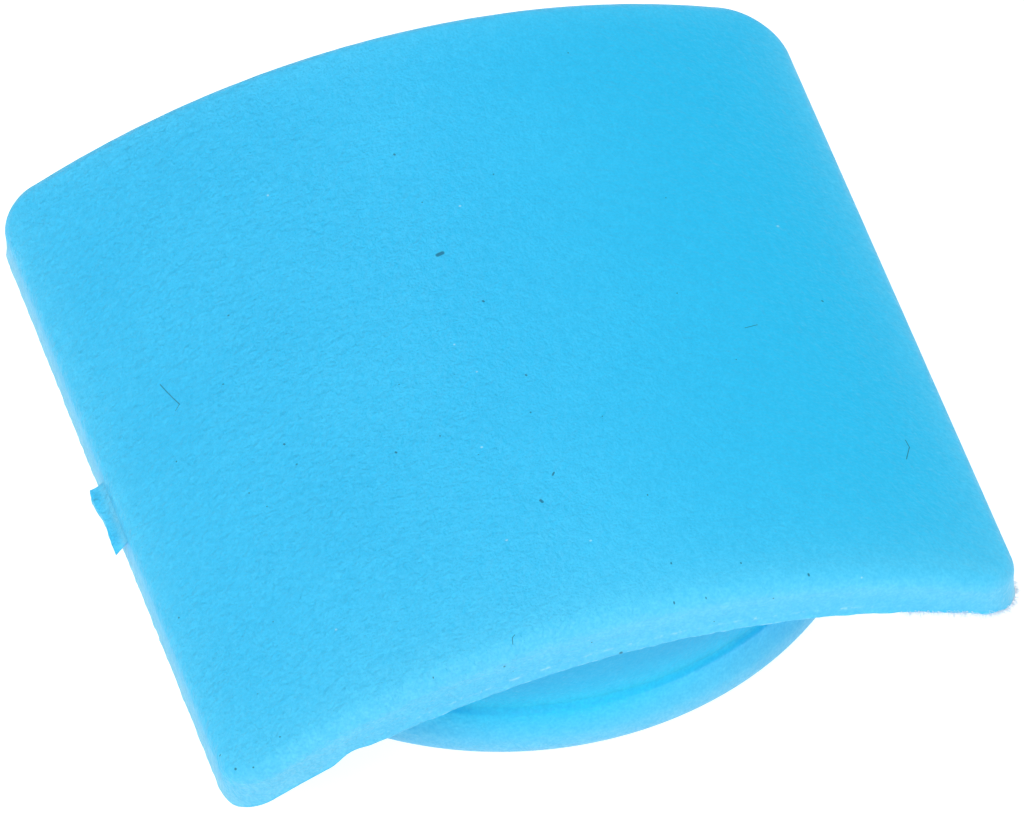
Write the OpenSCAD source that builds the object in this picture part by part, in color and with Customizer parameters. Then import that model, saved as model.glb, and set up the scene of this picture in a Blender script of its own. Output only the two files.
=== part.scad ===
// Snap-in cap: a square head arched about one axis, on a hollow round neck with a
// retaining lip at its foot. The real cap is one soft moulding. Each working zone of it is
// a solid of its own here, and neighbouring zones meet face to face.
//
// The foot ring stands on the plane z = 0 with its centre at the origin. +Z points out of
// the head's face, the straight sides of the head run along Y, and the head curves down
// towards +X and -X.

/* [Head] */
// Width of the head across its curve
head_width = 16; // [15.5:0.1:17]
// Length of the head along its straight sides
head_length = 16; // [15.5:0.1:20]
// Radius of the convex outer face
face_radius = 15.7; // [15:0.1:18]
// Radius of the concave underside
underside_radius = 16.9; // [16:0.1:20]
// Thickness of the head at its crown
crown_thickness = 1.1; // [0.9:0.05:1.4]
// Radius of the four corners, seen from above
corner_radius = 0.9; // [0.6:0.1:2]
// Size of the broken edge round the outer face
edge_break = 0.25; // [0.1:0.05:0.35]

/* [Neck] */
// Outer radius of the neck, the surface that sits in the hole of a panel
neck_radius = 6.85; // [6.5:0.05:6.9]
// Wall thickness of the hollow neck
neck_wall_thickness = 1.1; // [0.8:0.1:1.5]

/* [Lip] */
// Outer radius of the retaining lip
lip_radius = 7.1; // [7.05:0.05:7.4]
// Height of the lip, from the foot to the neck
lip_height = 1.55; // [1.4:0.05:1.8]
// Height of the lead-in cone at the foot
lead_in = 0.75; // [0.3:0.05:0.9]
// Height of the lip's straight rim
rim_height = 0.35; // [0.25:0.05:0.6]

/* [Gate] */
// Length of the torn moulding gate along the side of the head
gate_length = 1.8; // [1:0.1:2.5]
// How far the gate stands out of the side
gate_reach = 0.35; // [0.15:0.05:0.5]
// Thickness of the gate
gate_thickness = 0.6; // [0.3:0.05:0.6]
// Middle of the gate along the side, from the head's centre
gate_offset = -0.3; // [-3:0.05:3]

/* [Overall] */
// Height from the foot to the crown of the head
total_height = 5.4; // [5:0.1:7]

/* [Hidden] */
$fn = 96;

face_centre_z = total_height - face_radius;
underside_centre_z = total_height - crown_thickness - underside_radius;
bore_radius = neck_radius - neck_wall_thickness;
overrun = 1; // how far a cutting shape runs past what it cuts

// Height of a circular arc of radius r, centred at height centre_z, at distance x from its middle
function arc_z(r, centre_z, x) = centre_z + sqrt(r * r - x * x);

// The edge of the outer face along a straight side, and how steeply the face falls there
side_x = head_width / 2;
side_top_z = arc_z(face_radius, face_centre_z, side_x);
side_foot_z = arc_z(underside_radius, underside_centre_z, side_x);
face_fall = asin(side_x / face_radius);

// A rectangle with round corners
module rounded_rectangle(width, length, radius) {
    square([width - 2 * radius, length], center = true);
    square([width, length - 2 * radius], center = true);
    for (x = [-1, 1], y = [-1, 1])
        translate([x * (width / 2 - radius), y * (length / 2 - radius)])
            circle(radius);
}

// A long cylinder along Y, with its axis at height centre_z
module cylinder_along_y(radius, centre_z) {
    translate([0, 0, centre_z])
        rotate([90, 0, 0])
            cylinder(r = radius, h = head_length + 2 * overrun, center = true);
}

// The drum that the head is cut from: its rim is the outer face, with the arched front and
// back edges broken
module face_drum() {
    half = head_length / 2;
    translate([0, 0, face_centre_z])
        rotate([90, 0, 0])
            rotate_extrude()
                polygon([
                    [0, -half],
                    [face_radius - edge_break, -half],
                    [face_radius, -half + edge_break],
                    [face_radius, half - edge_break],
                    [face_radius - edge_break, half],
                    [0, half]
                ]);
}

// Cuts the break along the straight side at +X
module side_break() {
    side_point = [side_x, side_top_z - edge_break];
    face_point = [
        side_x - edge_break * cos(face_fall),
        side_top_z + edge_break * sin(face_fall)
    ];
    rotate([90, 0, 0])
        linear_extrude(height = head_length + 2 * overrun, center = true)
            polygon([
                side_point,
                side_point + [overrun, 0],
                [side_x + overrun, face_point[1] + overrun],
                face_point + [0, overrun],
                face_point
            ]);
}

// Square cover, curved across X, with a concave underside
module head_plate() {
    color("deepskyblue")
        difference() {
            intersection() {
                face_drum();
                linear_extrude(height = total_height + overrun)
                    rounded_rectangle(head_width, head_length, corner_radius);
            }
            cylinder_along_y(underside_radius, underside_centre_z);
            side_break();
            mirror([1, 0, 0]) side_break();
        }
}

// Hollow round neck, from the lip up to the underside of the head
module neck_wall() {
    color("dodgerblue")
        intersection() {
            difference() {
                translate([0, 0, lip_height])
                    cylinder(r = neck_radius, h = total_height);
                translate([0, 0, lip_height - overrun])
                    cylinder(r = bore_radius, h = total_height + 2 * overrun);
            }
            cylinder_along_y(underside_radius, underside_centre_z);
        }
}

// Foot ring with a lead-in cone, a straight rim and a shoulder that falls from the neck
module retaining_lip() {
    rim_top = lead_in + rim_height;
    color("deepskyblue")
        rotate_extrude()
            polygon([
                [bore_radius, 0],
                [lip_radius - lead_in, 0],
                [lip_radius, lead_in],
                [lip_radius, rim_top],
                [neck_radius, lip_height],
                [bore_radius, lip_height]
            ]);
}

// What is left of the moulding gate on the straight side at -X, torn at a slant
module gate_stub() {
    half = gate_length / 2;
    gap = (side_top_z - edge_break - side_foot_z - gate_thickness) / 2;
    color("lightskyblue")
        translate([-side_x, gate_offset, side_foot_z + gap])
            linear_extrude(height = gate_thickness)
                polygon([
                    [0, -half],
                    [-0.85 * gate_reach, -half],
                    [-0.75 * gate_reach, 0],
                    [-gate_reach, 0.6 * half],
                    [-0.85 * gate_reach, half],
                    [0, half]
                ]);
}

head_plate();
neck_wall();
retaining_lip();
gate_stub();
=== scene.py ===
"""Looks for a snap-in cap: a soft light-blue moulding with a square arched head, a round
hollow neck with a retaining lip, and the torn remains of its moulding gate.

Shapes are worked out in millimetres and become metres when a mesh is made. Each piece is a
closed mesh in the frame of the CAD model.
"""

import math
import random

import bmesh
import bpy
import numpy as np
from mathutils import Matrix, Vector, noise


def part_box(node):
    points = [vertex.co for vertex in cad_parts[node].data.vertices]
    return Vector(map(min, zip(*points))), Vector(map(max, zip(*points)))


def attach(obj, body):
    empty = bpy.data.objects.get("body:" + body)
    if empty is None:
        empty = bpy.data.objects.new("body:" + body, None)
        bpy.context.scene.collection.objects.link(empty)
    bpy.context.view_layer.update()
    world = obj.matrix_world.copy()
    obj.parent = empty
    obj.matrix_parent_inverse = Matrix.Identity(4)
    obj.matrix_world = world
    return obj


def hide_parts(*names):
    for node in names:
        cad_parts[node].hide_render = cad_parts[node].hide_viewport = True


MM = 0.001

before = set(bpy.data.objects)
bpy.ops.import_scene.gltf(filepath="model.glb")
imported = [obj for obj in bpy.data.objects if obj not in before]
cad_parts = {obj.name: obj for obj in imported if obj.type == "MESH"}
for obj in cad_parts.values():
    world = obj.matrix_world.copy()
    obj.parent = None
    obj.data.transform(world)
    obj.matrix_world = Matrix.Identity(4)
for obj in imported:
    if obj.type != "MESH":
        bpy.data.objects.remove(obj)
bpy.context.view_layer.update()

# ---------------------------------------------------------------- sizes, in millimetres

head_low, head_high = (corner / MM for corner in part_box("head_plate"))
lip_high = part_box("retaining_lip")[1] / MM
gate_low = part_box("gate_stub")[0] / MM

HEAD_HALF = (head_high.x - head_low.x) / 2  # the head is square, so this is half of each side
CROWN_Z = head_high.z
FACE_RADIUS = 15.7
UNDERSIDE_RADIUS = 16.9
CROWN_THICKNESS = 1.1
CORNER_RADII = {(-1, 1): 0.85, (1, 1): 1.2, (-1, -1): 0.85, (1, -1): 0.9}  # by the signs of x and y
EDGE_ROUND = 0.34  # round edge of the outer face
FOOT_ROUND = 0.06  # round edge where the side walls meet the underside
WALL_HOLLOW = 0.012  # how far the middle of a side wall is sunk
WALL_SHARES = (0.1, 0.25, 0.45, 0.65, 0.72, 0.76, 0.80, 0.85, 0.93)  # mesh rings down a wall
SCUFF_LINE = 0.76  # how far down the front wall the scuffs are
FRONT_PALE = 0.34  # how pale the front wall is painted, as painted sheen, where 1 is palest, as the foot of a side wall is
GLOW_DEPTH_FRONT, GLOW_DEPTH = 0.75, 0.4  # how far light from the walls reaches into the face

LIP_RADIUS = lip_high.x
LIP_HEIGHT = lip_high.z
LEAD_IN = 0.78  # height and depth of the cone at the foot
RIM_TOP = 1.15  # top of the lip's straight rim
LEDGE_RADIUS = 6.95  # edge between the ledge on top of the lip and its side
LEDGE_HEIGHT = 1.74
NECK_RADIUS = 6.85
BORE_RADIUS = 5.75
NECK_FILLET = 0.22  # between the neck and the underside of the head
TENON = 0.3  # how far one piece runs on inside its neighbour

# The gate's torn edge: places along it, and how far it stands out of the wall at each
GATE_TEAR_Y = (-1.2, -1.05, -0.75, -0.4, -0.15, 0.15, 0.35, 0.53)
GATE_TEAR_REACH = (0.28, 0.275, 0.265, 0.24, 0.245, 0.30, 0.31, 0.28)
GATE_ROOT_Z = 3.12  # height of its upper face where it starts, inside the side wall
GATE_TIP_Z = 2.85  # and at the torn edge
GATE_ROOT = 0.1  # how deep inside the side wall it starts

FRAYED_HAIRS = 420
HAIR_RADIUS = 0.009
HAIR_ROOT = 0.05  # how deep inside the edge a hair starts
HAIR_RUNS = (1.6, 0.3)  # how far the frayed edge runs along the front and along the side
HAIR_RINGS, HAIR_SIDES = 5, 3

HEAD_CELLS = 192  # mesh cells along one side of the head
TURN_STEPS = 288  # mesh steps round the neck and the lip
GATE_STEPS = 80  # mesh steps along the gate

FACE_CENTRE_Z = CROWN_Z - FACE_RADIUS
UNDERSIDE_CENTRE_Z = CROWN_Z - CROWN_THICKNESS - UNDERSIDE_RADIUS


# ---------------------------------------------------------------- helpers for shapes

def face_height(x):
    """Height of the convex outer face."""
    return FACE_CENTRE_Z + np.sqrt(FACE_RADIUS**2 - x**2)


def underside_height(x):
    """Height of the concave underside."""
    return UNDERSIDE_CENTRE_Z + np.sqrt(UNDERSIDE_RADIUS**2 - x**2)


def smooth_step(value, low, high):
    """0 below low, 1 above high, and a smooth rise between them. low may be above high."""
    t = np.clip((value - low) / (high - low), 0, 1)
    return t * t * (3 - 2 * t)


def grain(x, y, size, layer):
    """Smooth noise from about -1 to 1 over a surface, with features of that size."""
    flat = [noise.noise(Vector((a / size, b / size, layer))) for a, b in zip(np.ravel(x), np.ravel(y))]
    return np.array(flat).reshape(np.shape(x))


def make_piece(name, points, faces, material, slot, node, **marks):
    """A closed, smooth-shaded mesh from points in millimetres, riding on the frame for a node.
    marks are numbers at its points that its material reads by name."""
    mesh = bpy.data.meshes.new(name)
    mesh.from_pydata((np.asarray(points) * MM).tolist(), [], faces)
    tidy = bmesh.new()
    tidy.from_mesh(mesh)
    bmesh.ops.recalc_face_normals(tidy, faces=tidy.faces)
    tidy.to_mesh(mesh)
    tidy.free()
    mesh.polygons.foreach_set("use_smooth", [True] * len(mesh.polygons))
    mesh.materials.append(material)
    for mark, values in marks.items():
        mesh.attributes.new(mark, "FLOAT", "POINT").data.foreach_set("value", values)
    piece = bpy.data.objects.new(name, mesh)
    bpy.context.scene.collection.objects.link(piece)
    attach(piece, "root")
    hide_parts(node)


def bridge(upper, lower):
    """Quads between two closed loops of the same number of points."""
    count = len(upper)
    return [
        (lower[k], lower[(k + 1) % count], upper[(k + 1) % count], upper[k])
        for k in range(count)
    ]


def rod_faces(first, steps, around):
    """Faces of a closed rod whose points are steps + 1 rings of around points, from index first."""
    rings = [range(first + k * around, first + (k + 1) * around) for k in range(steps + 1)]
    faces = []
    for upper, lower in zip(rings, rings[1:]):
        faces += bridge(upper, lower)
    return faces + [tuple(rings[0]), tuple(rings[-1])]


# ---------------------------------------------------------------- the head

def rounded_square(u, v):
    """Maps a square grid, u and v from -1 to 1, onto the head's outline with its round corners.
    Gives x, y and the outward direction there."""
    reach = np.maximum(abs(u), abs(v))
    half = HEAD_HALF * reach
    side_x, side_y = np.where(u < 0, -1, 1), np.where(v < 0, -1, 1)
    corner = sum(r * (side_x == sx) * (side_y == sy) for (sx, sy), r in CORNER_RADII.items())
    radius = np.maximum(corner * reach**8, 1e-9)
    along_x, along_y = abs(u) * HEAD_HALF, abs(v) * HEAD_HALF
    past_x = (along_x - (half - radius)) / radius
    past_y = (along_y - (half - radius)) / radius
    on_x_side = along_x >= along_y
    turn = np.where(on_x_side, past_y, 2 - past_x) * math.pi / 4
    in_corner = (past_x > 0) & (past_y > 0)
    turn = np.where(in_corner, turn, np.where(on_x_side, 0, math.pi / 2))
    x = np.where(in_corner, half - radius + radius * np.cos(turn), along_x)
    y = np.where(in_corner, half - radius + radius * np.sin(turn), along_y)
    return x * side_x, y * side_y, np.cos(turn) * side_x, np.sin(turn) * side_y


def face_waves(x, y):
    """Unevenness of the outer face: slow sink waves, and a grain that is coarser towards -X."""
    sink = 0.003 * grain(x, y, 2.6, 3.1)
    coarse = smooth_step(x, 4, -5)
    peel = 0.0055 * grain(x, y, 0.40, 7.7) + 0.0050 * grain(x, y, 0.24, 11.3)
    return sink + peel * (0.6 + 0.4 * coarse)


def edge_glow(x, y):
    """How much the face is lit from inside near its edges, 1 at the very edge. The front edge,
    which faces the light, glows deepest."""
    to_front = HEAD_HALF + y
    to_others = np.minimum(HEAD_HALF - abs(x), HEAD_HALF - y)
    front = 0.86 * np.exp(-to_front / GLOW_DEPTH_FRONT) + 0.14 * np.exp(-to_front / 3)
    others = 0.8 * np.exp(-to_others / GLOW_DEPTH)
    return 1 - (1 - front) * (1 - others)


def foot_step(x, y):
    """How far the lower front edge hangs down: a little flash, and a corner that bulges."""
    near_front = smooth_step(y, -HEAD_HALF + 0.8, -HEAD_HALF + 0.3)
    parting = 0.03 * smooth_step(x, -5.3, -4.7) * smooth_step(x, 6.6, 5.2)
    corner = 0.075 * smooth_step(x, -5.75, -6.0)
    nick = -0.08 * smooth_step(x, -5.85, -5.6) * smooth_step(x, -5.15, -5.5)
    return near_front * (parting + corner + nick)


def flash_height(x, y, place):
    """Height of the torn flash along the head's lower edge. place runs along the edge."""
    level = np.zeros_like(place)
    ragged = 0.5 + grain(place, level, 0.22, 5.5) + 0.6 * grain(place, level, 0.09, 8.1)
    front = smooth_step(y, -HEAD_HALF + 1, -HEAD_HALF + 0.5)
    frayed = front * smooth_step(x, 5.2, 6.8)
    left = smooth_step(x, -HEAD_HALF + 0.3, -HEAD_HALF + 0.1)
    rough = np.maximum(front * smooth_step(x, -5.0, -4.2), left)
    return (0.003 + 0.017 * rough + 0.02 * frayed) * np.clip(ragged, 0, 1.4)


def scuff_dashes(x, y, place):
    """Where the lower front edge is scuffed white, in dashes along its middle."""
    front = smooth_step(y, -HEAD_HALF + 1, -HEAD_HALF + 0.5)
    worn = smooth_step(x, -5.6, -4.8) * smooth_step(x, 6.0, 4.5)
    return worn * front * np.clip(0.35 + 1.6 * grain(place, np.zeros_like(place), 0.3, 2.9), 0, 1)


def grid_loop(cells):
    """Indices of the border of a square grid, anticlockwise seen from above."""
    side = cells + 1
    forward, backward = range(cells), range(cells, 0, -1)
    return (
        [i * side for i in forward]
        + [cells * side + j for j in forward]
        + [i * side + cells for i in backward]
        + list(backward)
    )


def grid_faces(cells, start):
    """Quads of a square grid whose first point has index start, facing up."""
    side = cells + 1
    return [
        (
            start + i * side + j,
            start + (i + 1) * side + j,
            start + (i + 1) * side + j + 1,
            start + i * side + j + 1,
        )
        for i in range(cells)
        for j in range(cells)
    ]


class Border:
    """The head's border, seen from above: its places, the outward direction there, and how
    steeply the face and the underside fall outwards."""

    def __init__(self, x, y, out_x, out_y, fall, under_fall):
        self.x, self.y = x, y
        self.out_x, self.out_y = out_x, out_y
        self.fall, self.under_fall = fall, under_fall
        self.front = smooth_step(-out_y, 0.3, 0.9)  # 1 where the border faces the front
        gaps = np.hypot(np.diff(x, append=x[:1]), np.diff(y, append=y[:1]))
        self.place = np.concatenate([[0], np.cumsum(gaps)[:-1]])  # distance along the border

    def ring(self, inset, z):
        """Points at these heights, that far inside the border."""
        return np.stack([self.x - self.out_x * inset, self.y - self.out_y * inset, z], -1)


def edge_rings(border, face_z, face_glow):
    """Rings of points of the face's round edge, each with how scuffed it is, how pale with painted
    sheen, and how lit it is.
    """
    rings = []
    for share in np.linspace(0, 1, 11)[1:]:
        turn = border.fall + (math.pi / 2 - border.fall) * share
        z = face_z + EDGE_ROUND * (np.cos(turn) - np.cos(border.fall))
        points = border.ring(EDGE_ROUND * (1 - np.sin(turn)), z)
        # Painted sheen: the round edge is painted paler towards the wall, most at the front.
        pale = share * (0.04 + 0.29 * border.front)
        glow = face_glow * (1 - share) + share * (0.6 - 0.1 * border.front)
        rings.append((points, np.zeros_like(z), pale, glow))
    return rings


def wall_rings(border, top_z, foot_z):
    """The same for the side walls, which are slightly hollow."""
    rings = []
    front = border.front
    dashes = scuff_dashes(border.x, border.y, border.place)
    at_corners = 0.28 * smooth_step(border.x, -4, -7) + 0.12 * smooth_step(border.x, 5, 7.5)
    for share in WALL_SHARES:
        z = top_z * (1 - share) + foot_z * share
        points = border.ring(WALL_HOLLOW * math.sin(math.pi * share), z)
        scuff = 0.65 * dashes * math.exp(-(((share - SCUFF_LINE) / 0.035) ** 2))
        # Painted light: the side walls are painted paler towards their foot, where the floor lights
        # them; the front wall has a painted highlight line near its top and paler corners.
        side_sheen = min(1.0, 0.04 + 0.8 * share + 0.3 * share**2)
        front_sheen = FRONT_PALE + 0.04 * math.exp(-(((share - 0.15) / 0.12) ** 2)) + at_corners
        pale = side_sheen * (1 - front) + front_sheen * front
        glow = 0.6 * (1 - front) + 0.55 * math.exp(-share / 0.3) * front
        rings.append((points, scuff, pale, glow))
    return rings


def foot_rings(border, foot_z):
    """The same for the foot of the walls, with flash where the mould parted."""
    rings = []
    front = border.front
    flash = flash_height(border.x, border.y, border.place)
    for share in np.linspace(0, 1, 10)[:-1]:
        turn = (math.pi / 2 + border.under_fall) * share
        crest = math.exp(-(((share - 0.3) / 0.16) ** 2))
        size = FOOT_ROUND + flash * crest
        points = border.ring(FOOT_ROUND - size * np.cos(turn), foot_z - size * np.sin(turn))
        scuff = np.clip(0.15 + flash / 0.05, 0, 0.7) * crest
        # Painted light: the foot is painted pale, as lit by the floor, less so at the front.
        pale = 1 - front * (1 - FRONT_PALE) - 0.3 * share * (1 - front)
        rings.append((points, scuff, pale, 0.5 * (1 - front)))
    return rings


def head_shape():
    """Points and faces of the head, and how scuffed, how pale with painted light and how much lit
    from inside it is at each point: face, round edge, side wall, foot and underside."""
    steps = np.linspace(-1, 1, HEAD_CELLS + 1)
    u, v = (a.ravel() for a in np.meshgrid(steps, steps, indexing="ij"))
    x, y, out_x, out_y = rounded_square(u, v)
    reach = np.maximum(abs(u), abs(v)) ** 8
    fall = np.arctan(out_x * x / np.sqrt(FACE_RADIUS**2 - x**2))
    under_fall = np.arctan(out_x * x / np.sqrt(UNDERSIDE_RADIUS**2 - x**2))

    inset = EDGE_ROUND * (1 - np.sin(fall)) * reach
    top_x, top_y = x - out_x * inset, y - out_y * inset
    top = np.stack([top_x, top_y, face_height(top_x) + face_waves(top_x, top_y)], -1)
    top_glow = edge_glow(top_x, top_y)

    inset = FOOT_ROUND * (1 + np.sin(under_fall)) * reach
    low_x, low_y = x - out_x * inset, y - out_y * inset
    low = np.stack([low_x, low_y, underside_height(low_x) - foot_step(low_x, low_y)], -1)

    loop = np.array(grid_loop(HEAD_CELLS))
    border = Border(*(a[loop] for a in (x, y, out_x, out_y, fall, under_fall)))
    rings = edge_rings(border, top[loop, 2], top_glow[loop])
    wall_top = rings[-1][0][:, 2]
    foot_z = low[loop, 2] + FOOT_ROUND * np.cos(border.under_fall)
    rings += wall_rings(border, wall_top, foot_z)
    rings += foot_rings(border, foot_z)

    side_count, around = len(top), len(loop)
    low_start = side_count + len(rings) * around
    ring_loops = [range(start, start + around) for start in range(side_count, low_start, around)]
    loops = [loop.tolist(), *ring_loops, (loop + low_start).tolist()]
    faces = grid_faces(HEAD_CELLS, 0)
    for upper, lower in zip(loops, loops[1:]):
        faces += bridge(upper, lower)
    faces += [quad[::-1] for quad in grid_faces(HEAD_CELLS, low_start)]

    ring_points, scuffs, pales, glows = zip(*rings)
    points = np.concatenate([top, *ring_points, low])
    marks = {
        "scuff": np.concatenate([np.zeros(side_count), *scuffs, np.zeros(side_count)]),
        # The pale mark is painted light: sheen on the edges, floor light on the walls, the foot and the
        # underside.
        "pale": np.concatenate([np.zeros(side_count), *pales, FRONT_PALE * reach**8]),
        "glow": np.concatenate([top_glow, *glows, 0.3 * reach**8]),
    }
    return points, faces, marks


# ---------------------------------------------------------------- the neck and the lip

def revolve(section):
    """Points and faces of a closed ring. section(angle) gives the (radius, height) points of
    its cross-section, the same number at every angle."""
    points, faces = [], []
    for step in range(TURN_STEPS):
        angle = 2 * math.pi * step / TURN_STEPS
        points += [(r * math.cos(angle), r * math.sin(angle), z) for r, z in section(angle)]
    count = len(section(0))
    for step in range(TURN_STEPS):
        here, there = step * count, (step + 1) % TURN_STEPS * count
        for k in range(count):
            after = (k + 1) % count
            faces.append((here + k, there + k, there + after, here + after))
    return points, faces


def rounded_outline(corners, arc_steps=7):
    """A closed outline with each corner (r, z, radius) replaced by an arc of that radius."""
    outline = []
    for k, (r, z, radius) in enumerate(corners):
        here = Vector((r, z))
        before = (Vector(corners[k - 1][:2]) - here).normalized()
        after = (Vector(corners[(k + 1) % len(corners)][:2]) - here).normalized()
        opening = before.angle(after)
        if radius <= 0 or opening > math.radians(178):
            outline.append(tuple(here))
            continue
        middle = here + (before + after).normalized() * radius / math.sin(opening / 2)
        start = here + before * radius / math.tan(opening / 2) - middle
        end = here + after * radius / math.tan(opening / 2) - middle
        sweep = start.angle_signed(end)
        for step in range(arc_steps + 1):
            outline.append(tuple(middle + Matrix.Rotation(-sweep * step / arc_steps, 2) @ start))
    return outline


def neck_section(angle):
    """The neck wall at an angle: it runs on into the head and the lip, and flares under the head."""
    root = float(underside_height(NECK_RADIUS * math.cos(angle)))
    inner_root = float(underside_height(BORE_RADIUS * math.cos(angle)))
    foot = LIP_HEIGHT - TENON
    outer = [(NECK_RADIUS, z) for z in np.linspace(foot, root - NECK_FILLET, 10)]
    for step in range(1, 9):
        turn = math.pi / 2 * step / 8
        flare = NECK_FILLET * (1 - math.cos(turn))
        outer.append((NECK_RADIUS + flare, root - NECK_FILLET * (1 - math.sin(turn))))
    top = [(NECK_RADIUS - 0.1, root + TENON), (BORE_RADIUS + 0.1, inner_root + TENON)]
    inner = [(BORE_RADIUS, z) for z in np.linspace(inner_root, LIP_HEIGHT + 0.01, 8)]
    return outer + top + inner + [(BORE_RADIUS + 0.15, foot)]


def lip_corners():
    """Corners of the lip's cross-section: (radius, height, rounding). It starts and ends inside
    the neck wall."""
    return [
        (BORE_RADIUS, 0, 0.12),
        (LIP_RADIUS - LEAD_IN, 0, 0.3),
        (LIP_RADIUS, LEAD_IN, 0.35),
        (LIP_RADIUS, RIM_TOP, 0.5),
        (LEDGE_RADIUS, LEDGE_HEIGHT - 0.04, 0.10),
        (NECK_RADIUS - 0.012, LEDGE_HEIGHT + 0.07, 0.25),
        (NECK_RADIUS - 0.012, LEDGE_HEIGHT + 0.3, 0),
        (NECK_RADIUS - 0.3, LEDGE_HEIGHT + 0.32, 0),
        (BORE_RADIUS + 0.1, LEDGE_HEIGHT + 0.32, 0),
        (BORE_RADIUS + 0.1, LIP_HEIGHT + 0.01, 0),
        (BORE_RADIUS, LIP_HEIGHT, 0),
    ]


# ---------------------------------------------------------------- the gate

def gate_shape():
    """What is left of the gate: a flap that grows smoothly from the side wall, torn at its
    outer edge and thin towards -Y. Also gives how much light it passes, and how pale it is
    with a painted highlight streak."""
    root_x = -HEAD_HALF + GATE_ROOT
    points, glow, pale = [], [], []
    for y in np.linspace(GATE_TEAR_Y[0], GATE_TEAR_Y[-1], GATE_STEPS + 1):
        ragged = 0.008 * noise.noise(Vector((y / 0.08, 0, 2.5)))
        tip_x = -HEAD_HALF - float(np.interp(y, GATE_TEAR_Y, GATE_TEAR_REACH)) + ragged
        tip_top = GATE_TIP_Z + 0.02 * noise.noise(Vector((y / 0.25, 4.5, 0)))
        thick = min(1.0, 0.12 + max(0.0, y - gate_low.y) / 1.1)
        skew = 0.35 * max(0.0, 1 - (y - gate_low.y) / 0.4)
        tip_low = tip_top - 0.06 - 0.12 * thick
        root_low = GATE_ROOT_Z - (GATE_ROOT_Z - gate_low.z) * thick
        section = [(root_x, GATE_ROOT_Z)]
        for share in (0.2, 0.4, 0.6, 0.8, 0.93):
            z = tip_top + (GATE_ROOT_Z - tip_top) * (1 - share) ** 2
            section.append((root_x + (tip_x - root_x) * share, z))
        section += [
            (tip_x + 0.003, tip_top),
            (tip_x, (tip_top + tip_low) / 2),
            (tip_x + 0.01, tip_low),
            ((tip_x + root_x) / 2, (tip_low + root_low) / 2),
            (root_x, root_low),
            (root_x, (root_low + GATE_ROOT_Z) / 2),
        ]
        points += [(x, y + skew * (x - tip_x), z) for x, z in section]
        glow += [0.45 + 0.6 * noise.noise(Vector((x / 0.1, y / 0.3, 1.5))) for x, z in section]
        # Painted highlight: a pale streak across the gate's torn outer part.
        highlight_streak = 0.45 + 0.25 * noise.noise(Vector((0, y / 0.3, 6.5)))
        pale += [highlight_streak * smooth_step(x, -HEAD_HALF - 0.17, -HEAD_HALF - 0.03) for x, z in section]
    faces = rod_faces(0, GATE_STEPS, len(section))
    return points, faces, np.clip(glow, 0.1, 1), np.array(pale)


# ---------------------------------------------------------------- the frayed corner

def corner_path(share):
    """A point on the head's lower edge, and the outward direction there, from the front edge
    (share 0) round the corner at +X, -Y to the side (share 1)."""
    radius = CORNER_RADII[1, -1]
    centre = HEAD_HALF - radius
    front_run, side_run = HAIR_RUNS
    arc_run = radius * math.pi / 2
    place = share * (front_run + arc_run + side_run)
    if place < front_run:
        return centre - front_run + place, -HEAD_HALF, Vector((0, -1, 0))
    turn = min((place - front_run) / arc_run, 1) * math.pi / 2
    out = Vector((math.sin(turn), -math.cos(turn), 0))
    past = max(0.0, place - front_run - arc_run)
    return centre + radius * out.x, -centre + radius * out.y + past, out


def hair_points(rng):
    """Points of one short bent hair, thinner towards its tip."""
    share = rng.random()
    x, y, out = corner_path(share)
    along = Vector((-out.y, out.x, 0))
    start = Vector((x, y, float(underside_height(x)) + rng.uniform(-0.02, 0.06))) - out * HAIR_ROOT
    length = rng.uniform(0.05, 0.11) + 0.09 * share * rng.random()
    way = out + along * rng.uniform(-1.6, 1.6) + Vector((0, 0, rng.uniform(-0.9, 0.3)))
    way.normalize()
    bend = along * rng.uniform(-0.6, 0.6) + Vector((0, 0, rng.uniform(-0.5, 0.3)))
    points = []
    for step in range(HAIR_RINGS + 1):
        t = step / HAIR_RINGS
        middle = start + way * (length + HAIR_ROOT) * t + bend * length * t * t
        radius = HAIR_RADIUS * (1 - 0.75 * t)
        for k in range(HAIR_SIDES):
            turn = 2 * math.pi * k / HAIR_SIDES
            spoke = along * math.cos(turn) + Vector((0, 0, math.sin(turn)))
            points.append(tuple(middle + spoke * radius))
    return points


def frayed_hairs():
    """Hairs of torn flash along the corner's lower edge, each a closed thin rod."""
    rng = random.Random(11)
    points, faces = [], []
    for _ in range(FRAYED_HAIRS):
        faces += rod_faces(len(points), HAIR_RINGS, HAIR_SIDES)
        points += hair_points(rng)
    return points, faces


# ---------------------------------------------------------------- materials

# Colours, as linear red, green and blue
BLUE = (0.037, 0.548, 0.915)
DEEP_BLUE = (0.030, 0.523, 0.89)
RIGHT_SHADE_BLUE = (0.012, 0.53, 0.89)  # painted shade towards +X: the face there is painted a deeper, less pale blue
DAPPLE_BLUE = (0.0, 0.40, 0.74)  # the fine mottling
GLOW_BLUE = (0.10, 0.64, 0.96)  # where light comes through an edge
PALE_BLUE = (0.22, 0.64, 0.85)  # painted sheen and floor light on the walls and edges
# Painted shade: the neck, under the head, is painted a deeper blue than the face.
SHADED_NECK_BLUE = (0.026, 0.475, 0.785)
CREASE_SHADE_BLUE = (0.016, 0.61, 0.90)  # painted shade: the saturated blue of the shaded crease between the neck and the lip
# Painted light: the lip's foot, lit by the floor, is painted this paler blue.
FLOOR_LIT_LIP_BLUE = (0.20, 0.575, 0.80)
SCUFF_WHITE = (0.40, 0.74, 0.93)
LINT_WHITE = (0.76, 0.86, 0.95)
DIRT = (0.0, 0.11, 0.20)
FLOOR_GREYS = (0.44, 0.44, 0.44), (0.46, 0.46, 0.46)
FLOOR_GLOW = 0.84

SKIN_DEPTH = 0.055  # height of the skin's fine bumps
LOWEST_DIRT_Z = 2.9  # the face's dirt stays above this, so that the underside has none

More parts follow.
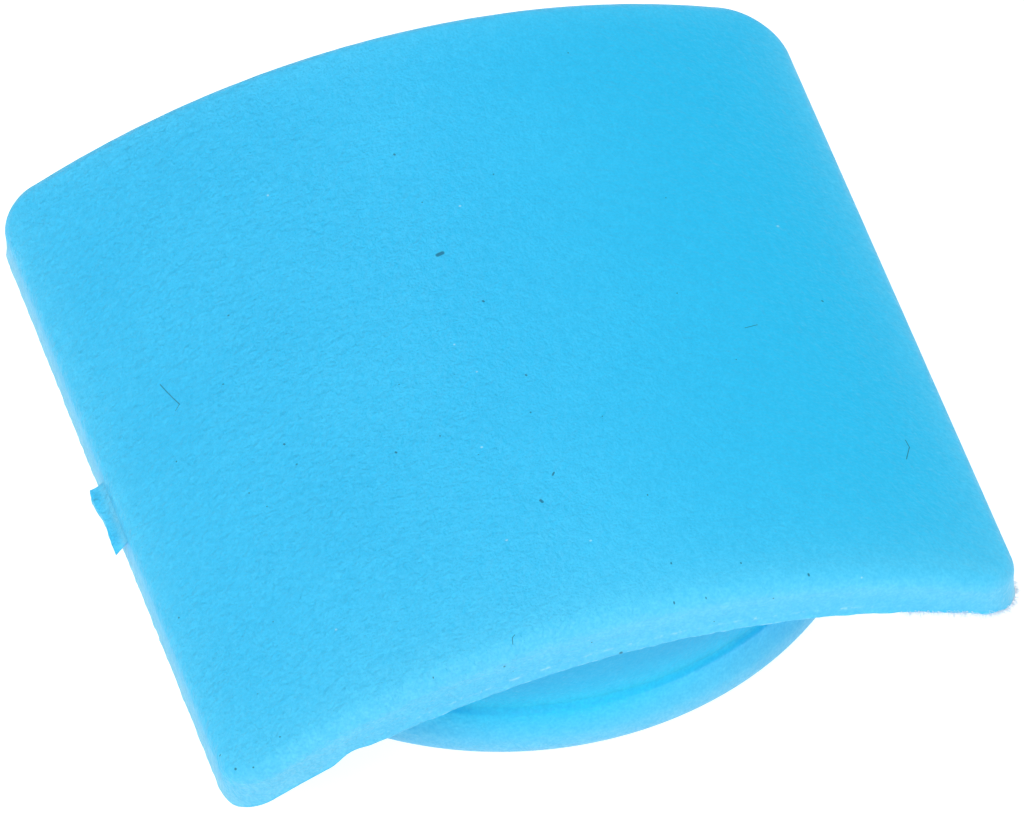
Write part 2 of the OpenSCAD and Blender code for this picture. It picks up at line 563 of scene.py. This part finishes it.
# Dark specks and fibres pressed into the face: start, end and half width, the ends as x and y
MARKS = [
    ((-0.68, 1.98), (-0.58, 2.0), 0.045),
    ((-6.45, 1.7), (-6.33, 1.25), 0.010),
    ((-6.33, 1.25), (-6.26, 1.02), 0.010),
    ((-6.26, 1.02), (-6.37, 0.93), 0.008),
    ((4.54, -1.2), (4.81, -1.13), 0.009),
    ((6.8, -4.22), (6.82, -4.43), 0.010),
    ((6.81, -4.43), (6.65, -4.75), 0.010),
    ((-2.15, -7.68), (-2.21, -7.72), 0.008),
    ((-2.21, -7.72), (-2.24, -7.84), 0.008),
    ((-0.21, 0.54), (-0.2, 0.52), 0.022),
    ((-0.69, -4.7), (-0.67, -4.75), 0.030),
    ((-0.28, -4.17), (-0.24, -4.12), 0.020),
    ((-0.7, 4.78), (-0.69, 4.76), 0.020),
    ((6.34, -0.45), (6.35, -0.46), 0.020),
    ((0, -1.55), (0.01, -1.57), 0.020),
    ((-2.9, -2.4), (-2.89, -2.42), 0.020),
    ((-4.77, -1.1), (-4.76, -1.12), 0.019),
    ((-4.82, 2.44), (-4.81, 2.44), 0.018),
    ((-0.2, -2.5), (-0.2, -2.51), 0.017),
    ((-4.7, -1.7), (-4.69, -1.7), 0.017),
    ((-5.39, 0.94), (-5.38, 0.94), 0.016),
    ((-2.0, -2.4), (-2.0, -2.41), 0.015),
    ((1.2, -7.0), (1.2, -7.02), 0.017),
    ((2.5, -7.3), (2.5, -7.32), 0.016),
    ((1.3, -5.2), (1.3, -5.21), 0.016),
    ((-7.7, -3.6), (-7.7, -3.61), 0.016),
    ((-6.7, -0.2), (-6.7, -0.21), 0.015),
    ((-5.7, -1.8), (-5.7, -1.81), 0.014),
    ((-6.84, -7.49), (-6.83, -7.5), 0.015),
    ((-7.47, -7.77), (-7.46, -7.78), 0.014),
    ((-7.77, -7.56), (-7.76, -7.58), 0.018),
    ((-7.93, -7.06), (-7.92, -7.06), 0.013),
    ((3.7, -7.78), (3.7, -7.8), 0.022),
    ((0.97, -7.9), (0.97, -7.91), 0.018),
    ((1.6, -7.92), (1.6, -7.93), 0.012),
    ((-3.85, -7.86), (-3.85, -7.87), 0.012),
]
# Light specks on the face, all of one size, as x and y
PALE_MARKS = [(0.1, 3.05), (-1.6, -5.4), (-0.1, -6.0), (-1.35, -3.0), (6.1, 1.6)]
PALE_MARK_LENGTH, PALE_MARK_HALF_WIDTH = 0.01, 0.022
# Dark specks on the front wall: x and z, and half width
WALL_MARKS = [
    ((-0.15, 4.32), 0.032),
    ((-0.72, 4.83), 0.016),
    ((2.92, 4.76), 0.016),
    ((-2.47, 4.79), 0.02),
    ((-2.3, 4.58), 0.014),
]


class Nodes:
    """A material's node tree, with short calls to add and join nodes."""

    def __init__(self, name):
        self.material = bpy.data.materials.new(name)
        self.material.use_nodes = True
        self.tree = self.material.node_tree
        self.shader = self.tree.nodes["Principled BSDF"]
        self.place = self.add("ShaderNodeTexCoord").outputs["Object"]

    def add(self, kind, **settings):
        node = self.tree.nodes.new(kind)
        for key, value in settings.items():
            setattr(node, key, value)
        return node

    def feed(self, socket, value):
        """Joins an output to a socket, or sets its value."""
        if isinstance(value, bpy.types.NodeSocket):
            self.tree.links.new(value, socket)
        else:
            socket.default_value = value

    def maths(self, operation, a, b):
        node = self.add("ShaderNodeMath", operation=operation)
        self.feed(node.inputs[0], a)
        self.feed(node.inputs[1], b)
        return node.outputs[0]

    def vector(self, operation, a, b, output="Vector"):
        node = self.add("ShaderNodeVectorMath", operation=operation)
        self.feed(node.inputs[0], a)
        self.feed(node.inputs[1], b)
        return node.outputs[output]

    def noise(self, size, detail=2.0):
        """Noise with features of that size in millimetres."""
        node = self.add("ShaderNodeTexNoise")
        self.feed(node.inputs["Vector"], self.place)
        self.feed(node.inputs["Scale"], 1 / (size * MM))
        self.feed(node.inputs["Detail"], detail)
        return node.outputs["Fac"]

    def mark(self, name):
        """The number of that name at each point of the mesh, 0 where it has none."""
        return self.add("ShaderNodeAttribute", attribute_name=name).outputs["Fac"]

    def ramp(self, value, low, high, from_value=0.0, to_value=1.0):
        """Smooth step of value between low and high."""
        node = self.add("ShaderNodeMapRange", interpolation_type="SMOOTHSTEP")
        for key, number in zip(("Value", "From Min", "From Max"), (value, low, high)):
            self.feed(node.inputs[key], number)
        self.feed(node.inputs["To Min"], from_value)
        self.feed(node.inputs["To Max"], to_value)
        return node.outputs["Result"]

    def mix(self, share, a, b):
        """Colour a, with a share of colour b over it."""
        node = self.add("ShaderNodeMix", data_type="RGBA")
        self.feed(node.inputs["Factor"], share)
        self.feed(node.inputs["A"], (*a, 1) if isinstance(a, tuple) else a)
        self.feed(node.inputs["B"], (*b, 1) if isinstance(b, tuple) else b)
        return node.outputs["Result"]


def fibre_mask(nodes, flat_place, start, end, half_width):
    """1 on a short straight mark on the face, 0 away from it."""
    a = Vector((*start, 0)) * MM
    run = Vector((*end, 0)) * MM - a
    away = nodes.vector("SUBTRACT", flat_place, a)
    share = nodes.vector("DOT_PRODUCT", away, run / run.length_squared, "Value")
    share = nodes.maths("MAXIMUM", nodes.maths("MINIMUM", share, 1.0), 0.0)
    scale = nodes.add("ShaderNodeVectorMath", operation="SCALE")
    nodes.feed(scale.inputs[0], run)
    nodes.feed(scale.inputs["Scale"], share)
    gap = nodes.vector("DISTANCE", away, scale.outputs[0], "Value")
    return nodes.ramp(gap, half_width * 1.3 * MM, half_width * 0.6 * MM)


def speck_mask(nodes, spacing, size, share):
    """Rare round specks: one in a small share of cells of that spacing, in millimetres."""
    cells = nodes.add("ShaderNodeTexVoronoi", feature="F1")
    nodes.feed(cells.inputs["Vector"], nodes.place)
    nodes.feed(cells.inputs["Scale"], 1 / (spacing * MM))
    near = nodes.ramp(cells.outputs["Distance"], size / spacing, 0.5 * size / spacing)
    pick = nodes.add("ShaderNodeSeparateColor")
    nodes.feed(pick.inputs[0], cells.outputs["Color"])
    chosen = nodes.maths("LESS_THAN", pick.outputs[0], share)
    return nodes.maths("MULTIPLY", near, chosen)


def face_dirt(nodes, axes, flat_place):
    """1 on the dark specks and fibres of the head, 0 elsewhere."""
    dirt = speck_mask(nodes, 0.8, 0.022, 0.4)
    for start, end, half_width in MARKS:
        dirt = nodes.maths("MAXIMUM", dirt, fibre_mask(nodes, flat_place, start, end, half_width))
    above = nodes.maths("GREATER_THAN", axes.outputs["Z"], LOWEST_DIRT_Z * MM)
    dirt = nodes.maths("MULTIPLY", dirt, above)
    for (x, z), half_width in WALL_MARKS:
        middle = Vector((x, -HEAD_HALF, z)) * MM
        gap = nodes.vector("DISTANCE", nodes.place, middle, "Value")
        spot = nodes.ramp(gap, half_width * 1.5 * MM, half_width * 0.7 * MM)
        dirt = nodes.maths("MAXIMUM", dirt, spot)
    return dirt


def light_specks(nodes, flat_place):
    """1 on the light specks of the head, 0 elsewhere."""
    specks = speck_mask(nodes, 1.1, 0.03, 0.35)
    for x, y in PALE_MARKS:
        end = (x + PALE_MARK_LENGTH, y)
        spot = fibre_mask(nodes, flat_place, (x, y), end, PALE_MARK_HALF_WIDTH)
        specks = nodes.maths("MAXIMUM", specks, spot)
    return specks


def face_marks(nodes, axes, colour):
    """Lays the scuffs, the dirt and the light specks of the head over its colour."""
    broken = nodes.ramp(nodes.noise(0.12), 0.42, 0.6)
    scuff = nodes.maths("MULTIPLY", nodes.mark("scuff"), broken)
    colour = nodes.mix(scuff, colour, SCUFF_WHITE)
    flat_place = nodes.vector("MULTIPLY", nodes.place, (1, 1, 0))
    dirt = nodes.maths("MULTIPLY", face_dirt(nodes, axes, flat_place), 0.8)
    colour = nodes.mix(dirt, colour, DIRT)
    specks = nodes.maths("MULTIPLY", light_specks(nodes, flat_place), 0.6)
    return nodes.mix(specks, colour, SCUFF_WHITE)


def satin_skin(nodes, axes, grain_depth):
    """A satin gloss, light scattered inside, and fine bumps that are deeper towards -X."""
    shader = nodes.shader
    nodes.feed(shader.inputs["Roughness"], nodes.ramp(nodes.noise(0.25, detail=3), 0.2, 0.8, 0.42, 0.56))
    nodes.feed(shader.inputs["IOR"], 1.45)
    nodes.feed(shader.inputs["Specular IOR Level"], 0.45)
    shader.subsurface_method = "BURLEY"
    nodes.feed(shader.inputs["Subsurface Weight"], 0.25)
    nodes.feed(shader.inputs["Subsurface Radius"], (0.5, 0.9, 1.0))
    nodes.feed(shader.inputs["Subsurface Scale"], 0.25 * MM)

    fine = nodes.maths("MULTIPLY", nodes.noise(0.06), 0.5)
    skin = nodes.maths("ADD", nodes.noise(0.16), fine)
    coarse = nodes.ramp(axes.outputs["X"], 2 * MM, -5 * MM, 0.5, 1.2)
    bump = nodes.add("ShaderNodeBump")
    nodes.feed(bump.inputs["Height"], nodes.maths("MULTIPLY", skin, coarse))
    nodes.feed(bump.inputs["Strength"], 1.0)
    nodes.feed(bump.inputs["Distance"], SKIN_DEPTH * grain_depth * MM)
    nodes.feed(shader.inputs["Normal"], bump.outputs[0])


def moulded_blue(name, marked=False, grain_depth=1.0, blues=(DEEP_BLUE, BLUE), pale_blue=PALE_BLUE):
    """Soft light-blue moulded plastic: faint streaks in the colour, lighter or deeper where the mesh is
    marked as lit or pale, which is painted light and shade, mottled, and with a few specks of dirt."""
    nodes = Nodes(name)
    axes = nodes.add("ShaderNodeSeparateXYZ")
    nodes.feed(axes.inputs[0], nodes.place)
    streaks = nodes.noise(3.5, detail=3)
    colour = nodes.mix(nodes.ramp(streaks, 0.3, 0.7), *blues)
    if marked:
        # Painted shade: the face is painted a deeper, less pale blue towards +X.
        colour = nodes.mix(nodes.ramp(axes.outputs["X"], -1 * MM, 7 * MM), colour, RIGHT_SHADE_BLUE)
    colour = nodes.mix(nodes.mark("glow"), colour, GLOW_BLUE)
    # Painted light and shade: sheen, floor light, highlights and crease shade, as the pale mark asks.
    colour = nodes.mix(nodes.mark("pale"), colour, pale_blue)
    for size, depth in ((0.30, 0.10), (0.13, 0.17), (0.055, 0.30)):
        dapple = nodes.maths("MULTIPLY", nodes.ramp(nodes.noise(size), 0.3, 0.7), depth)
        colour = nodes.mix(dapple, colour, DAPPLE_BLUE)
    if marked:
        colour = face_marks(nodes, axes, colour)
    else:
        specks = nodes.maths("MULTIPLY", speck_mask(nodes, 1.3, 0.03, 0.3), 0.7)
        colour = nodes.mix(specks, colour, DIRT)
    nodes.feed(nodes.shader.inputs["Base Color"], colour)
    satin_skin(nodes, axes, grain_depth)
    return nodes.material


def lint_white():
    """Torn, whitened hairs of plastic."""
    nodes = Nodes("lint_white")
    nodes.feed(nodes.shader.inputs["Base Color"], (*LINT_WHITE, 1))
    nodes.feed(nodes.shader.inputs["Roughness"], 0.7)
    nodes.feed(nodes.shader.inputs["Specular IOR Level"], 0.3)
    return nodes.material


def floor_white():
    """A plain pale studio floor that glows a little, so that the cap's shadow stays faint."""
    nodes = Nodes("floor_white")
    tone = nodes.mix(nodes.noise(40, detail=1), *FLOOR_GREYS)
    nodes.feed(nodes.shader.inputs["Base Color"], tone)
    nodes.feed(nodes.shader.inputs["Roughness"], 0.9)
    nodes.feed(nodes.shader.inputs["Specular IOR Level"], 0.0)
    nodes.feed(nodes.shader.inputs["Emission Color"], (1, 1, 1, 1))
    nodes.feed(nodes.shader.inputs["Emission Strength"], FLOOR_GLOW)
    return nodes.material


# ---------------------------------------------------------------- camera, floor and light

CAMERA_AZIMUTH = math.radians(-15.41)
CAMERA_ELEVATION = math.radians(48.47)
CAMERA_ROLL = math.radians(2.68)
CAMERA_DISTANCE = 376.9
CAMERA_LENS = 685.6
SENSOR_WIDTH = 36
AIM_RIGHT, AIM_UP = 0.20, -1.71  # the picture's middle, measured from the crown of the head
FLOOR_HALF = 400
LIGHT_DISTANCE = 300
WORLD_STRENGTH = 0.385


def camera_axes():
    """The camera's right, up and backward directions."""
    a, e, r = CAMERA_AZIMUTH, CAMERA_ELEVATION, CAMERA_ROLL
    right = Vector((math.cos(a), math.sin(a), 0))
    back = Vector((math.sin(a) * math.cos(e), -math.cos(a) * math.cos(e), math.sin(e)))
    up = back.cross(right)
    rolled_right = right * math.cos(r) - up * math.sin(r)
    rolled_up = right * math.sin(r) + up * math.cos(r)
    return rolled_right, rolled_up, back


def make_camera():
    """The camera that the picture is taken with."""
    right, up, back = camera_axes()
    place = Vector((0, 0, CROWN_Z)) + right * AIM_RIGHT + up * AIM_UP + back * CAMERA_DISTANCE
    data = bpy.data.cameras.new("camera")
    data.sensor_width = SENSOR_WIDTH
    data.lens = CAMERA_LENS
    data.clip_start = 0.01
    data.clip_end = 10
    camera = bpy.data.objects.new("camera", data)
    turn = Matrix((right, up, back)).transposed()
    camera.matrix_world = Matrix.Translation(place * MM) @ turn.to_4x4()
    bpy.context.scene.collection.objects.link(camera)
    bpy.context.scene.camera = camera


def make_floor(material):
    """A flat square floor under the cap."""
    half = FLOOR_HALF * MM
    mesh = bpy.data.meshes.new("floor")
    corners = [(-half, -half, 0), (half, -half, 0), (half, half, 0), (-half, half, 0)]
    mesh.from_pydata(corners, [], [(0, 1, 2, 3)])
    mesh.materials.append(material)
    floor = bpy.data.objects.new("floor", mesh)
    bpy.context.scene.collection.objects.link(floor)


def make_light(name, azimuth, elevation, size, power, glossy=True):
    """A square soft light that faces the cap. azimuth is measured as the camera's."""
    a, e = math.radians(azimuth), math.radians(elevation)
    away = Vector((math.sin(a) * math.cos(e), -math.cos(a) * math.cos(e), math.sin(e)))
    data = bpy.data.lights.new(name, "AREA")
    data.size = size * MM
    data.energy = power
    light = bpy.data.objects.new(name, data)
    light.location = away * LIGHT_DISTANCE * MM + Vector((0, 0, CROWN_Z / 2 * MM))
    light.rotation_mode = "QUATERNION"
    light.rotation_quaternion = away.to_track_quat("Z", "Y")
    light.visible_glossy = glossy
    bpy.context.scene.collection.objects.link(light)


def make_studio():
    """White surroundings and three soft lights."""
    world = bpy.data.worlds.new("studio")
    world.use_nodes = True
    background = world.node_tree.nodes["Background"]
    background.inputs["Color"].default_value = (1, 1, 1, 1)
    background.inputs["Strength"].default_value = WORLD_STRENGTH
    bpy.context.scene.world = world
    make_light("key_front", azimuth=-34, elevation=49, size=160, power=0.56)
    make_light("fill_right", azimuth=80, elevation=34, size=200, power=0.24, glossy=False)
    make_light("back_left", azimuth=205, elevation=50, size=220, power=0.22)
    bpy.context.scene.view_settings.view_transform = "Standard"


# ---------------------------------------------------------------- the cap

make_camera()
make_studio()
make_floor(floor_white())

grained = moulded_blue("grained_blue", marked=True)
# The neck and the lip start from the crease's painted shade colour.
crease_shade_blues = (CREASE_SHADE_BLUE, CREASE_SHADE_BLUE)
neck_blue = moulded_blue("neck_blue", grain_depth=0.7, blues=crease_shade_blues, pale_blue=SHADED_NECK_BLUE)
lip_blue = moulded_blue("lip_blue", grain_depth=0.7, blues=crease_shade_blues, pale_blue=FLOOR_LIT_LIP_BLUE)
torn = moulded_blue("torn_blue", grain_depth=1.3)

points, faces, marks = head_shape()
make_piece("cap_head", points, faces, grained, "grained_face", "head_plate", **marks)

points, faces = revolve(neck_section)
# Painted shade: the neck is painted in the crease's shade colour at the ledge, turning to its deeper
# blue above.
pale = smooth_step(np.array(points)[:, 2], LEDGE_HEIGHT, LEDGE_HEIGHT + 0.7)
make_piece("cap_neck", points, faces, neck_blue, "smooth_plug", "neck_wall", pale=pale)

lip_outline = rounded_outline(lip_corners())
points, faces = revolve(lambda angle: lip_outline)
x, y, z = np.array(points).T
# Painted light: the lip runs from the crease's painted shade at its top to a paler, floor-lit blue at
# its foot.
pale = smooth_step(z, LIP_HEIGHT + 0.25, 0.35 * LIP_HEIGHT)
# Painted glint: a thin bright line along the ledge's edge, stronger towards +X.
at_ledge = np.exp(-(((z - LEDGE_HEIGHT + 0.05) / 0.035) ** 2))
glow = 0.8 * at_ledge * smooth_step(x, -0.5, 2.5)
make_piece("cap_lip", points, faces, lip_blue, "smooth_plug", "retaining_lip", pale=pale, glow=glow)

points, faces, glow, pale = gate_shape()
make_piece("gate_remains", points, faces, torn, "grained_face", "gate_stub", glow=glow, pale=pale)

points, faces = frayed_hairs()
make_piece("frayed_hairs", points, faces, lint_white(), "grained_face", "head_plate")
